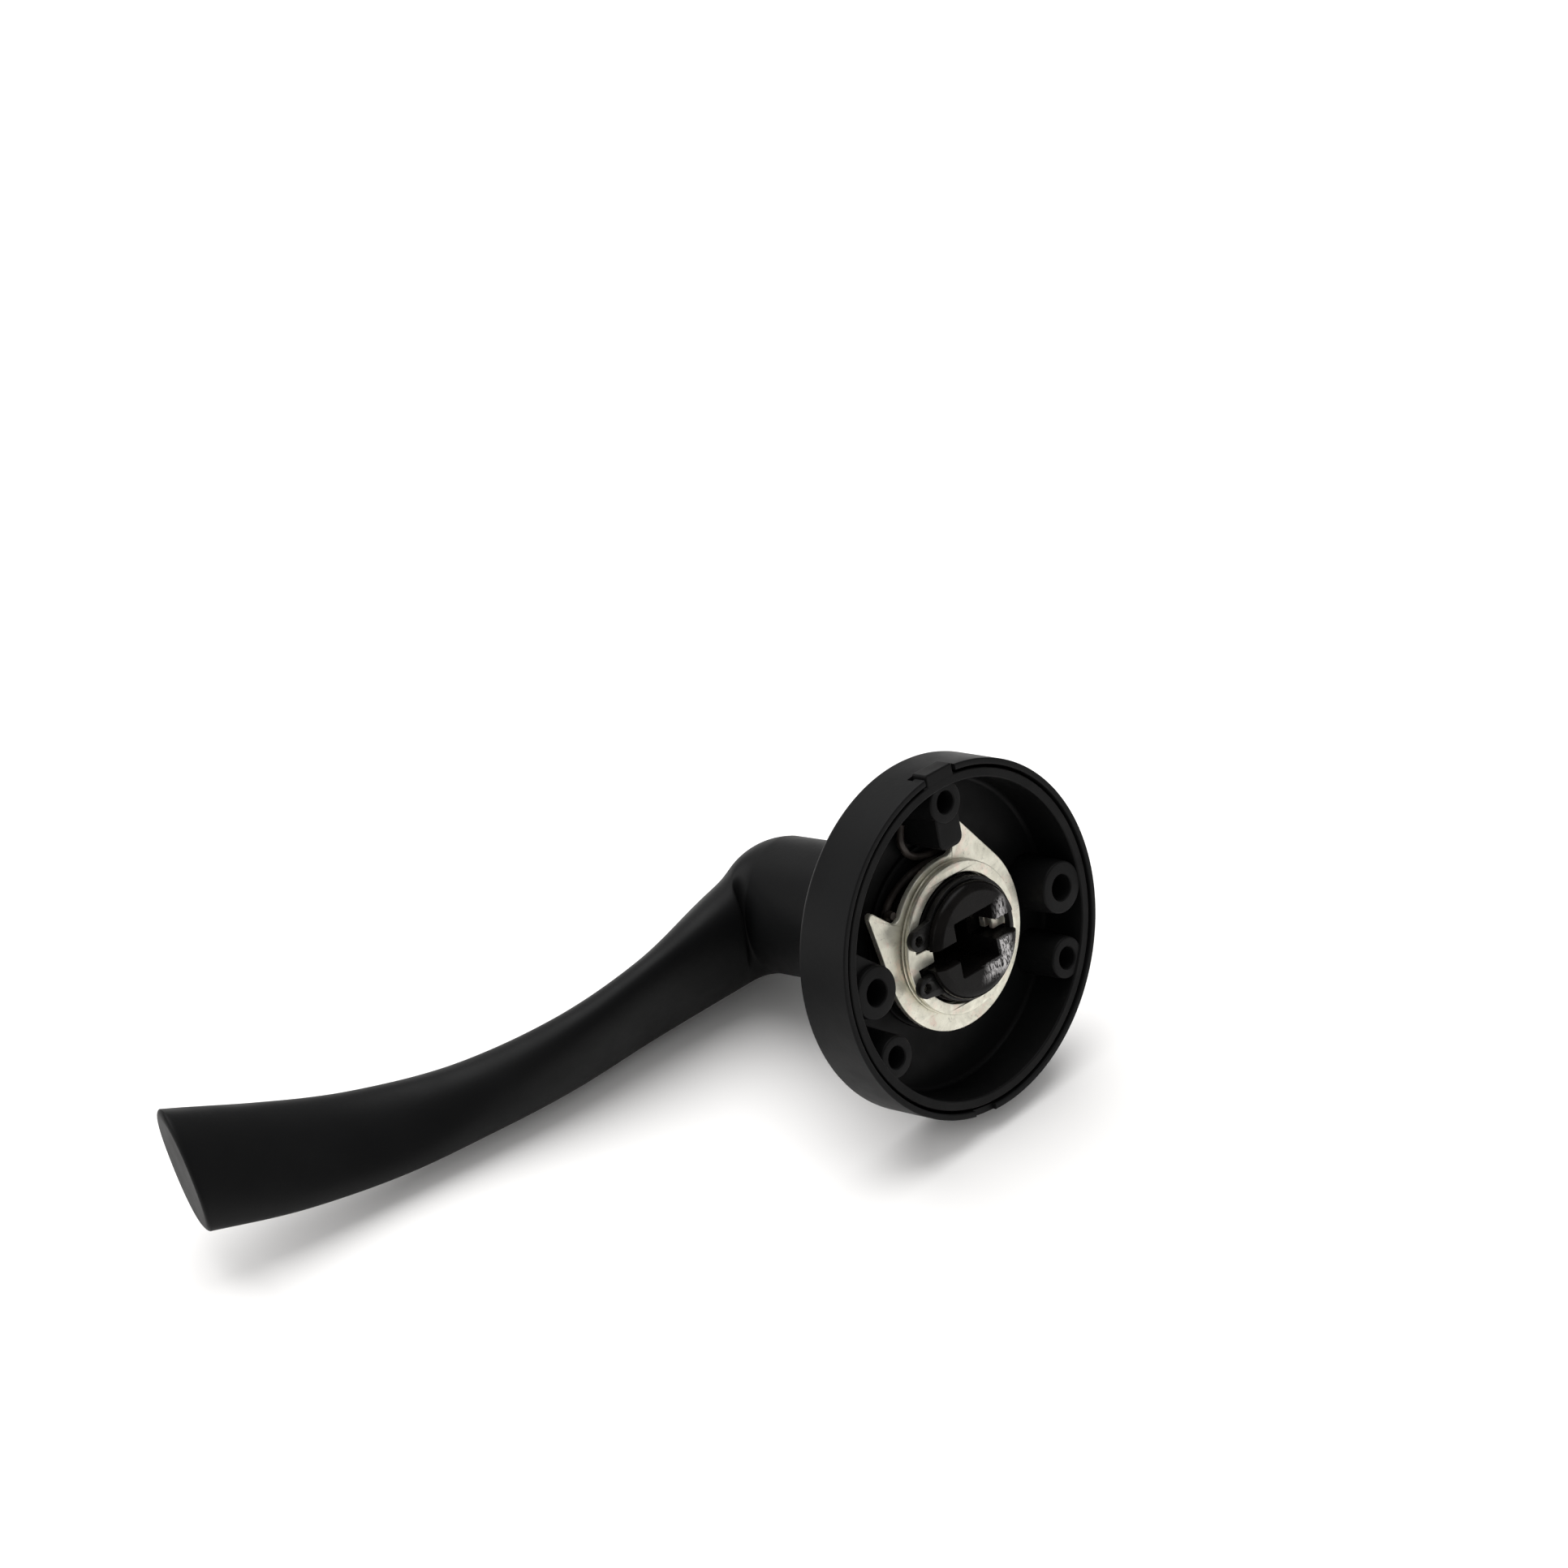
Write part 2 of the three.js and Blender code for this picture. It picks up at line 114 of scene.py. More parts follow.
GRIP = [
    (-11.0, -39.53, 1.66, 8.64, 6.2, -0.41),
    (-26.0, -40.1, 4.33, 7.67, 5.5, -0.68),
    (-41.0, -41.4, 6.3, 6.3, 4.9, -0.48),
    (-56.0, -44.6, 7.2, 5.4, 4.8, 0.0),
    (-71.0, -47.5, 6.2, 5.9, 4.9, 0.5),
    (-86.0, -49.2, 3.1, 7.2, 5.0, 0.58),
    (-100.4, -50.4, -1.1, 8.4, 5.1, 0.36),
]
SQUARENESS = 2.25
TIP = {"tilt_depth": -0.36, "tilt_height": 0.09, "from": 0.75, "edge": 0.7}
SIDES, ELBOW_STEPS, GRIP_STEPS = 144, 44, 150
RELAXED_REACH, RELAXED_PASSES = 26, 70

# Pressed steel and spring.
PLATE_RADIUS, PLATE_NOTCH, PLATE_CORNER, PLATE_EDGE = 13.3, 11.6, 1.2, 0.16
HORN = {"reach": 17.5, "tip": 0.6, "edge": 2.55, "axis": 24.3}
KEY_TAB = {"half": 1.2, "reach": 6.0, "bore": 9.2, "corner": 0.25, "steps": 60}
WASHER_EDGE = 0.14
WAVE_BORE, WAVE_THICKNESS, WAVE_EDGE, WAVES = 9.3, 0.25, 0.06, 3
CLIP_INNER, CLIP_OUTER, CLIP_OFFSET, CLIP_GAP, CLIP_EDGE = 8.15, 8.75, 0.2, 4.0, 0.1
CLIP_LUG = {"radius": 1.5, "hole": 0.7, "pitch": 10.0, "join": 18}
WIRE = 1.1
COIL_LOW = {"radius": 11.6, "level": -6.45}
COIL_HIGH = {"radius": 10.9, "level": -5.35}
SPRING_LEG = [
    (-3.4, -17.6), (-3.85, -16.4), (-3.95, -15.0), (-3.3, -13.4), (-1.9, -12.3), (-0.2, -11.75),
]
SPRING_TURNS = {"start": 14, "rise": 305, "flat": 370, "end": 646, "step": 8}
SPRING_END = {"radius": 12.5, "angle": 665, "bend": 9, "lift": 0.25, "top": -3.9}

# How far a cutter passes the surface it opens and a joined part is sunk into the floor, how finely
# round shapes are divided, the angles that stay sharp edges, and the gaps that are closed, in metres.
CLEAR, SINK = 1, 0.1
ROSE_SEGMENTS, WASHER_SEGMENTS, GUIDE_SEGMENTS, BOSS_SEGMENTS, HOLE_SEGMENTS = 240, 200, 160, 72, 48
LUG_SEGMENTS, WIRE_SIDES = 24, 24
SHARP, PRESSED_SHARP = 32, 50
MERGED = 2e-7

# Colours, from dark to light, and the scraped area of the neck's end.
COAT_TONES = (0.0045, 0.0046, 0.0048), (0.006, 0.0061, 0.0063)
CAST_TONES = (0.004, 0.0037, 0.0035), (0.0065, 0.0058, 0.0054)
NYLON_TONES = (0.0045, 0.0045, 0.0046), (0.006, 0.006, 0.0061)
STEEL_TONES = (0.005, 0.0048, 0.0046), (0.009, 0.0085, 0.0082)
WIRE_TONES = (0.028, 0.023, 0.02), (0.06, 0.05, 0.044)
ZINC_TONES = (0.72, 0.70, 0.59), (0.95, 0.93, 0.80)
ZINC_PINK, ZINC_SPOT, WORN_METAL = (0.88, 0.77, 0.66), (0.36, 0.34, 0.3), (0.46, 0.45, 0.45)
WORN = {"corner": (1.8, 4.4), "level": (0.3, 0.8), "lowest": (-4.8, -3.8), "socket": (5.2, 6.8)}


# ---------------------------------------------------------------- outlines

def polar(radius, degrees):
    """Point at an angle measured from -Z (the stop block) toward +X."""
    angle = math.radians(degrees)
    return radius * math.sin(angle), -radius * math.cos(angle)


def arc(centre, radius, start, end, steps):
    """Points about a centre from one polar angle to another."""
    points = [polar(radius, start + (end - start) * i / steps) for i in range(steps + 1)]
    return [(centre[0] + x, centre[1] + z) for x, z in points]


def rectangle(x0, x1, z0, z1):
    return [(x0, z0), (x1, z0), (x1, z1), (x0, z1)]


def smoothstep(value, low=0.0, high=1.0):
    share = min(max((value - low) / (high - low), 0.0), 1.0)
    return share * share * (3 - 2 * share)


def lerp(a, b, share):
    return a + (b - a) * share


def fillet(points, radii, steps=6):
    """Closed outline with its corners rounded. `radii` is one radius, or one for each corner."""
    count = len(points)
    if not hasattr(radii, "__len__"):
        radii = [radii] * count
    rounded = []
    for i, radius in enumerate(radii):
        corner = Vector(points[i])
        before = Vector(points[i - 1]) - corner
        after = Vector(points[(i + 1) % count]) - corner
        half = before.angle(after) / 2
        if radius <= 0 or half > math.radians(89):
            rounded.append(tuple(corner))
            continue
        most = min(before.length, after.length) * 0.49
        reach = min(radius / math.tan(half), most)
        radius = reach * math.tan(half)
        middle = (before.normalized() + after.normalized()).normalized()
        centre = corner + middle * (radius / math.sin(half))
        start = corner + before.normalized() * reach - centre
        end = corner + after.normalized() * reach - centre
        sweep = start.angle_signed(end)
        for k in range(steps + 1):
            turned = start.copy()
            turned.rotate(Matrix.Rotation(-sweep * k / steps, 2))
            rounded.append(tuple(centre + turned))
    return rounded


def area(loop):
    return sum(a[0] * b[1] - b[0] * a[1] for a, b in zip(loop, loop[1:] + loop[:1])) / 2


def wound(loop, positive):
    return list(loop) if (area(loop) > 0) == positive else list(reversed(loop))


def inset(loop, distance):
    """The loop moved to its left by a small distance, which is into the material."""
    moved = []
    for i, (x, z) in enumerate(loop):
        back = Vector((x - loop[i - 1][0], z - loop[i - 1][1])).normalized()
        ahead = loop[(i + 1) % len(loop)]
        forward = Vector((ahead[0] - x, ahead[1] - z)).normalized()
        left = Vector((-back.y - forward.y, back.x + forward.x))
        scale = distance / max(left.length_squared / 2, 0.5)
        moved.append((x + left.x * scale, z + left.y * scale))
    return moved


# ---------------------------------------------------------------- meshes

def build(name, points, faces):
    mesh = bpy.data.meshes.new(name)
    mesh.from_pydata([Vector(p) * MM for p in points], [], faces)
    shell = bmesh.new()
    shell.from_mesh(mesh)
    bmesh.ops.recalc_face_normals(shell, faces=shell.faces)
    shell.to_mesh(mesh)
    shell.free()
    made = bpy.data.objects.new(name, mesh)
    bpy.context.scene.collection.objects.link(made)
    return made


def lathe(name, profile, segments, centre=(0, 0)):
    """Solid of a (radius, level) profile turned about Y. An open profile ends on the axis."""
    points, rings, faces = [], [], []
    for radius, level in profile:
        start = len(points)
        count = segments if radius > 1e-6 else 1
        for i in range(count):
            angle = TAU * i / segments
            x, z = radius * math.cos(angle), radius * math.sin(angle)
            points.append((centre[0] + x, level, centre[1] + z))
        rings.append(list(range(start, start + count)))
    closed = len(rings[0]) > 1 or len(rings[-1]) > 1
    following = rings[1:] + rings[:1] if closed else rings[1:]
    for a, b in zip(rings, following):
        for i in range(segments):
            j = i + 1
            corners = [a[i % len(a)], a[j % len(a)], b[j % len(b)], b[i % len(b)]]
            corners = list(dict.fromkeys(corners))
            if len(corners) > 2:
                faces.append(corners)
    return build(name, points, faces)


def slab(name, outer, top, bottom, edge, holes=(), steps=3):
    """Flat piece from an outline in X and Z, with holes and rounded rims."""
    loops = [wound(outer, True)] + [wound(hole, False) for hole in holes]
    rims = []
    for k in range(steps + 1):
        turn = math.radians(90 * k / steps)
        rims.append((edge * (1 - math.sin(turn)), edge * (1 - math.cos(turn))))
    layers = [(move, top - drop) for move, drop in rims]
    layers += [(move, bottom + drop) for move, drop in reversed(rims)]
    points, faces, starts = [], [], []
    for move, level in layers:
        starts.append(len(points))
        for loop in loops:
            points += [(x, level, z) for x, z in inset(loop, move)]
    for lower, upper in zip(starts, starts[1:]):
        offset = 0
        for loop in loops:
            below, above = lower + offset, upper + offset
            for i in range(len(loop)):
                j = (i + 1) % len(loop)
                faces.append([below + i, below + j, above + j, above + i])
            offset += len(loop)
    flat = tessellate_polygon([[Vector((x, z, 0)) for x, z in loop] for loop in loops])
    for start in (starts[0], starts[-1]):
        faces += [[start + i for i in corners] for corners in flat]
    return build(name, points, faces)


def loft(name, rings):
    """Closed skin over rings with the same number of points, with a flat cap at each end."""
    sides = len(rings[0])
    points = [point for ring in rings for point in ring]
    faces = []
    for start in range(0, len(points) - sides, sides):
        for i in range(sides):
            j = (i + 1) % sides
            faces.append([start + i, start + j, start + sides + j, start + sides + i])
    faces.append(list(range(sides)))
    faces.append(list(range(len(points) - sides, len(points))))
    return build(name, points, faces)


def freeze(piece):
    """Applies the piece's modifiers."""
    bpy.context.view_layer.update()
    evaluated = piece.evaluated_get(bpy.context.evaluated_depsgraph_get())
    mesh = bpy.data.meshes.new_from_object(evaluated)
    mesh.materials.clear()
    piece.modifiers.clear()
    piece.data = mesh


def combine(piece, tools, operation):
    """Joins the tools to the piece, or cuts them from it, and removes them."""
    for tool in tools:
        step = piece.modifiers.new(operation, "BOOLEAN")
        step.operation = operation
        step.solver = "MANIFOLD"
        step.object = tool
    freeze(piece)
    for tool in tools:
        bpy.data.objects.remove(tool)
    return piece


def smooth(piece, angle=SHARP):
    """Smooth shading that keeps the edges sharper than an angle."""
    shell = bmesh.new()
    shell.from_mesh(piece.data)
    bmesh.ops.remove_doubles(shell, verts=shell.verts, dist=MERGED)
    bmesh.ops.dissolve_degenerate(shell, edges=shell.edges, dist=MERGED)
    for face in shell.faces:
        face.smooth = True
    limit = math.radians(angle)
    for side in shell.edges:
        side.smooth = side.is_manifold and side.calc_face_angle(0.0) < limit
    shell.to_mesh(piece.data)
    shell.free()
    weighted = piece.modifiers.new("weighted_normals", "WEIGHTED_NORMAL")
    weighted.keep_sharp = True
    return piece


def dress(piece, material, angle=SHARP):
    piece.data.materials.append(material)
    smooth(piece, angle)


def place(piece, body, node):
    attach(piece, body)
    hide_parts(node)


# ---------------------------------------------------------------- materials

class Surface:
    """Principled material with its colour, roughness and bump from noise in the piece's space."""

    def __init__(self, name, roughness, metallic=0.0, **sockets):
        self.material = bpy.data.materials.new(name)
        self.material.use_nodes = True
        self.tree = self.material.node_tree
        self.shader = self.tree.nodes["Principled BSDF"]
        self.shader.inputs["Roughness"].default_value = roughness
        self.shader.inputs["Metallic"].default_value = metallic
        for socket, value in sockets.items():
            self.shader.inputs[socket.replace("_", " ")].default_value = value
        self.place = self.tree.nodes.new("ShaderNodeTexCoord").outputs["Object"]
        self.bumped = None

    def link(self, source, target):
        self.tree.links.new(source, target)

    def stretched(self, scale):
        """Object coordinates with another scale along each axis."""
        mapping = self.tree.nodes.new("ShaderNodeMapping")
        mapping.inputs["Scale"].default_value = scale
        self.link(self.place, mapping.inputs["Vector"])
        return mapping.outputs["Vector"]

    def noise(self, scale, detail=3.0, roughness=0.55, vector=None, distortion=0.0):
        node = self.tree.nodes.new("ShaderNodeTexNoise")
        node.inputs["Scale"].default_value = scale
        node.inputs["Detail"].default_value = detail
        node.inputs["Roughness"].default_value = roughness
        node.inputs["Distortion"].default_value = distortion
        self.link(vector or self.place, node.inputs["Vector"])
        return node.outputs["Fac"]

    def ramp(self, value, low, high, bottom=0.0, top=1.0):
        node = self.tree.nodes.new("ShaderNodeMapRange")
        node.interpolation_type = "SMOOTHSTEP"
        settings = {"From Min": low, "From Max": high, "To Min": bottom, "To Max": top}
        for socket, number in settings.items():
            node.inputs[socket].default_value = number
        self.link(value, node.inputs["Value"])
        return node.outputs["Result"]

    def fade(self, value, span, bottom=0.0, top=1.0):
        """Ramp over a span in millimetres."""
        return self.ramp(value, span[0] * MM, span[1] * MM, bottom, top)

    def math(self, operation, a, b=0.0):
        node = self.tree.nodes.new("ShaderNodeMath")
        node.operation = operation
        for socket, value in zip(node.inputs, (a, b)):
            if isinstance(value, (int, float)):
                socket.default_value = value
            else:
                self.link(value, socket)
        return node.outputs[0]

    def mix(self, share, a, b):
        node = self.tree.nodes.new("ShaderNodeMix")
        node.data_type = "RGBA"
        self.link(share, node.inputs["Factor"])
        for socket, colour in zip((node.inputs[6], node.inputs[7]), (a, b)):
            if isinstance(colour, tuple):
                socket.default_value = (*colour, 1)
            else:
                self.link(colour, socket)
        return node.outputs[2]

    def clouds(self, scale, detail, low, high, bottom, top):
        """Soft noise between two numbers or two colours."""
        noise = self.noise(scale, detail)
        if isinstance(bottom, tuple):
            return self.mix(self.ramp(noise, low, high), bottom, top)
        return self.ramp(noise, low, high, bottom, top)

    def axes(self):
        node = self.tree.nodes.new("ShaderNodeSeparateXYZ")
        self.link(self.place, node.inputs[0])
        return node.outputs

    def colour(self, source):
        self.link(source, self.shader.inputs["Base Color"])

    def roughness(self, source):
        self.link(source, self.shader.inputs["Roughness"])

    def metallic(self, source):
        self.link(source, self.shader.inputs["Metallic"])

    def bump(self, height, distance, strength=1.0):
        node = self.tree.nodes.new("ShaderNodeBump")
        node.inputs["Distance"].default_value = distance
        node.inputs["Strength"].default_value = strength
        self.link(height, node.inputs["Height"])
        if self.bumped:
            self.link(self.bumped, node.inputs["Normal"])
        self.bumped = node.outputs["Normal"]
        self.link(self.bumped, self.shader.inputs["Normal"])


def powder_coat():
    """Matte black powder coat: fine orange peel, a faint grain and slightly uneven gloss."""
    look = Surface("powder_coat", 0.5, Specular_IOR_Level=0.1)
    look.colour(look.clouds(45, 3, 0.3, 0.7, *COAT_TONES))
    look.roughness(look.clouds(160, 4, 0.3, 0.7, 0.46, 0.54))
    look.bump(look.noise(1500, 2), 12 * MICRON)
    look.bump(look.noise(6500, 2), 4 * MICRON)
    return look.material


def cast_end():
    """Bare dark end of the casting: glossy, scraped to bright metal beside the spindle socket."""
    look = Surface("cast_end", 0.3, Specular_IOR_Level=0.09)
    x, y, z = look.axes()
    corner = look.math("ADD", x, look.math("MULTIPLY", z, 0.5))
    across = look.math("MAXIMUM", look.math("ABSOLUTE", x), look.math("ABSOLUTE", z))
    side = look.math("MULTIPLY", look.fade(corner, WORN["corner"]), look.fade(y, WORN["level"]))
    side = look.math("MULTIPLY", side, look.fade(z, WORN["lowest"]))
    side = look.math("MULTIPLY", side, look.fade(across, WORN["socket"], 1.0, 0.0))
    scratches = look.noise(2600, 6, 0.75, look.stretched((1.0, 1.0, 0.4)), 0.5)
    worn = look.math("MULTIPLY", side, look.ramp(scratches, 0.44, 0.54))
    look.colour(look.mix(worn, look.clouds(300, 4, 0.35, 0.65, *CAST_TONES), WORN_METAL))
    look.metallic(look.math("MULTIPLY", worn, 0.9))
    look.roughness(look.clouds(220, 4, 0.3, 0.7, 0.18, 0.3))
    look.bump(look.noise(1800, 4), 10 * MICRON)
    look.bump(look.math("MULTIPLY", worn, scratches), 30 * MICRON, 0.6)
    return look.material


def black_nylon():
    """Moulded black plastic with a fine eroded texture and slightly shinier faces."""
    look = Surface("black_nylon", 0.5, Specular_IOR_Level=0.09)
    look.colour(look.clouds(90, 3, 0.3, 0.7, *NYLON_TONES))
    look.roughness(look.clouds(260, 4, 0.3, 0.7, 0.4, 0.52))
    look.bump(look.noise(3200, 3), 8 * MICRON)
    return look.material


def zinc_plate():
    """Zinc-plated pressed steel: warm grey, clouded, with rolling lines and handling marks."""
    look = Surface("zinc_plate", 0.36, 0.8)
    cloud = look.ramp(look.noise(260, 7, 0.72, distortion=0.6), 0.36, 0.64)
    pink = look.ramp(look.noise(420, 6, 0.7), 0.5, 0.66)
    toned = look.mix(pink, look.mix(cloud, *ZINC_TONES), ZINC_PINK)
    spots = look.ramp(look.noise(1900, 5, 0.7), 0.58, 0.7)
    look.colour(look.mix(look.math("MULTIPLY", spots, 0.6), toned, ZINC_SPOT))
    look.roughness(look.ramp(look.noise(260, 5, 0.65), 0.3, 0.7, 0.3, 0.5))
    rolling_lines = look.noise(900, 4, 0.7, look.stretched((1.0, 1.0, 0.18)))
    look.bump(rolling_lines, 12 * MICRON, 0.7)
    look.bump(look.noise(380, 4), 20 * MICRON, 0.6)
    return look.material


def black_steel():
    """Phosphated spring steel, dark and slightly oily."""
    look = Surface("black_steel", 0.32, Specular_IOR_Level=0.2)
    look.colour(look.clouds(420, 4, 0.35, 0.65, *STEEL_TONES))
    look.roughness(look.clouds(500, 4, 0.3, 0.7, 0.26, 0.42))
    look.bump(look.noise(1600, 4), 10 * MICRON)
    return look.material


def spring_steel():
    """Drawn wire, brown-black and oiled."""
    look = Surface("spring_steel", 0.36, 0.55)
    look.colour(look.clouds(350, 4, 0.35, 0.65, *WIRE_TONES))
    look.roughness(look.clouds(800, 4, 0.3, 0.7, 0.28, 0.45))
    look.bump(look.noise(2600, 3), 8 * MICRON)
    return look.material


# ---------------------------------------------------------------- rose

def box_tool(name, x_span, y_span, z_span):
    """Plain block for cutting."""
    return slab(name, rectangle(*x_span, *z_span), y_span[1], y_span[0], 0.0, steps=1)


def cover_shell(material):
    radius, front = COVER_HIGH.x, COVER_LOW.y
    inner, back = radius - COVER_WALL, front + COVER_FACE
    profile = [(COVER_BORE, front), (radius, front), (radius, 0), (inner, 0), (inner, back),
               (COVER_BORE, back)]
    shell = lathe("cover_shell", fillet(profile, COVER_CORNERS), ROSE_SEGMENTS)
    rim = (radius - 3, radius + CLEAR)
    opposite_rim = (-rim[1], -rim[0])
    notch_left, notch_floor = NOTCH["from"], -NOTCH["depth"]
    tools = [
        box_tool("notch", (notch_left, NOTCH["to"]), (notch_floor, CLEAR), opposite_rim),
        box_tool("undercut", (notch_left - NOTCH["undercut"], 0),
                 (notch_floor, notch_floor + NOTCH["undercut_height"]), opposite_rim),
        box_tool("pry_slot", (PRY_SLOT["from"], PRY_SLOT["to"]), (-PRY_SLOT["depth"], CLEAR), rim),
    ]
    combine(shell, tools, "DIFFERENCE")
    dress(shell, material)
    place(shell, "rose", "rose_cover")


def boss(name, x, z, radius):
    """Drafted screw boss with a rounded rim."""
    root = FLOOR_BOTTOM + SINK
    profile = [(0, root), (radius + BOSS_DRAFT, root), (radius, BOSS_TOP), (0, BOSS_TOP)]
    return lathe(name, fillet(profile, [0, 0, BOSS_RIM, 0]), BOSS_SEGMENTS, (x, z))


def drill(name, x, z, radius):
    """Through hole with a slightly broken mouth."""
    mouth, above = BOSS_MOUTH, BOSS_TOP + 0.3
    profile = [
        (0, FLOOR_BOTTOM - CLEAR), (radius, FLOOR_BOTTOM - CLEAR), (radius, BOSS_TOP - mouth),
        (radius + mouth, BOSS_TOP), (radius + mouth + 0.3, above), (0, above),
    ]
    return lathe(name, profile, HOLE_SEGMENTS, (x, z))


def base_moulding(material):
    root = FLOOR_BOTTOM + SINK
    profile = [
        (COLLAR_INNER, FLOOR_BOTTOM), (RING_OUTER, FLOOR_BOTTOM), (RING_OUTER, RING_TOP),
        (RING_INNER, RING_TOP), (RING_INNER - RING_DRAFT, FLOOR_TOP), (COLLAR_OUTER, FLOOR_TOP),
        (COLLAR_OUTER, COLLAR_TOP), (COLLAR_INNER, COLLAR_TOP),
    ]
    body = lathe("base_moulding", fillet(profile, BASE_CORNERS), ROSE_SEGMENTS)
    stop, tab, guide = STOP_BLOCK, RIM_TAB, SPRING_GUIDE
    block = fillet(rectangle(stop["from"], stop["to"], -SCREW_PITCH, stop["low"]),
                   [0, 0, stop["corner"], stop["corner"]])
    tab_outline = fillet(rectangle(tab["from"], tab["to"], BASE_LOW.z, -tab["root"]),
                         [tab["corner"], tab["corner"], 0, 0])
    guide_profile = fillet(rectangle(guide["inner"], guide["outer"], root, guide["top"]),
                           [0, 0, guide["edge"], guide["edge"]])
    parts = [
        slab("stop_block", block, stop["top"], root, stop["edge"]),
        slab("rim_tab", tab_outline, RING_TOP - 0.01, RING_TOP - tab["depth"], tab["edge"]),
        slab("corner_web", CORNER_WEB, CORNER_WEB_TOP, root, CORNER_WEB_EDGE),
        lathe("spring_guide", guide_profile, GUIDE_SEGMENTS),
    ]
    bolts = [(BOLT_PITCH, 0), (-BOLT_PITCH, 0)]
    screws = [polar(SCREW_PITCH, angle) for angle in (0, 120, 240)]
    fixings = [("bolt", i, *spot, BOLT_BOSS) for i, spot in enumerate(bolts)]
    fixings += [("screw", i, *spot, SCREW_BOSS) for i, spot in enumerate(screws)]
    parts += [boss(f"{kind}_boss_{i}", x, z, size["radius"]) for kind, i, x, z, size in fixings]
    combine(body, parts, "UNION")
    holes = [drill(f"{kind}_hole_{i}", x, z, size["hole"]) for kind, i, x, z, size in fixings]
    combine(body, holes, "DIFFERENCE")
    dress(body, material)
    place(body, "rose", "rose_base")


# ---------------------------------------------------------------- steel

def circle(radius, segments, centre=(0, 0)):
    turns = [TAU * i / segments for i in range(segments)]
    return [(centre[0] + radius * math.cos(a), centre[1] + radius * math.sin(a)) for a in turns]


def keyed_bore():
    """Round bore with a tab on each side that reaches into the neck's slots."""
    half, reach, radius = KEY_TAB["half"], KEY_TAB["reach"], KEY_TAB["bore"]
    corner, steps = KEY_TAB["corner"], KEY_TAB["steps"]
    edge = math.degrees(math.asin(half / radius))
    right = arc((0, 0), radius, 90 + edge, 270 - edge, steps)
    left = arc((0, 0), radius, 270 + edge, 450 - edge, steps)
    outline = [(reach, half), *right, (-reach, half), (-reach, -half), *left, (reach, -half)]
    bore = [0] * (steps + 1)
    return fillet(outline, [corner, *bore, corner, corner, *bore, corner], 4)


def horn_side():
    """Half outline of the stop plate, from the notch round the right horn to the far side."""
    fillet_x = HORN["edge"] - PLATE_CORNER
    fillet_angle = math.asin(fillet_x / (PLATE_NOTCH + PLATE_CORNER))
    corner = (fillet_x, -(PLATE_NOTCH + PLATE_CORNER) * math.cos(fillet_angle))
    tip_x = HORN["edge"] + HORN["tip"]
    tip_reach = HORN["reach"] - HORN["tip"]
    tip_angle = math.asin(tip_x / tip_reach)
    tip = (tip_x, -tip_reach * math.cos(tip_angle))
    tangent = math.degrees(tip_angle + math.acos((PLATE_RADIUS - HORN["tip"]) / tip_reach))
    return [
        *arc((0, 0), PLATE_NOTCH, -HORN["axis"], math.degrees(fillet_angle), 16),
        *arc(corner, PLATE_CORNER, 180 + math.degrees(fillet_angle), 90, 10)[1:],
        *arc(tip, HORN["tip"], -90, tangent, 12),
        *arc((0, 0), PLATE_RADIUS, tangent, 180 - HORN["axis"], 40),
    ]


def stop_plate(material):
    """Pressing with two horns, which mirror each other across the line between them."""
    side = horn_side()
    mirror = math.radians(-2 * HORN["axis"])
    mirrored = []
    for x, z in side[1:-1]:
        angle = mirror - math.atan2(x, -z)
        length = math.hypot(x, z)
        mirrored.append((length * math.sin(angle), -length * math.cos(angle)))
    outline = side + mirrored[::-1]
    plate = slab("stop_plate_pressing", outline, PLATE_HIGH.y, PLATE_LOW.y, PLATE_EDGE,
                 [keyed_bore()], 4)
    dress(plate, material, PRESSED_SHARP)
    place(plate, "lever", "stop_plate")


def keyed_washer(material):
    outline = circle(WASHER_HIGH.x, WASHER_SEGMENTS)
    washer = slab("keyed_washer_ring", outline, WASHER_HIGH.y, WASHER_LOW.y, WASHER_EDGE,
                  [keyed_bore()], 4)
    dress(washer, material, PRESSED_SHARP)
    place(washer, "lever", "keyed_washer")


def wave_washer(material):
    middle = (WAVE_LOW.y + WAVE_HIGH.y) / 2
    swing = (WAVE_HIGH.y - WAVE_LOW.y - WAVE_THICKNESS) / 2
    half = WAVE_THICKNESS / 2
    profile = fillet(rectangle(WAVE_BORE, WAVE_HIGH.x, -half, half), WAVE_EDGE, 3)
    washer = lathe("wave_washer_ring", profile, ROSE_SEGMENTS)
    for vertex in washer.data.vertices:
        angle = math.atan2(vertex.co.x, vertex.co.z)
        vertex.co.y += (middle + swing * math.cos(WAVES * angle)) * MM
    dress(washer, material)
    place(washer, "lever", "wave_washer")


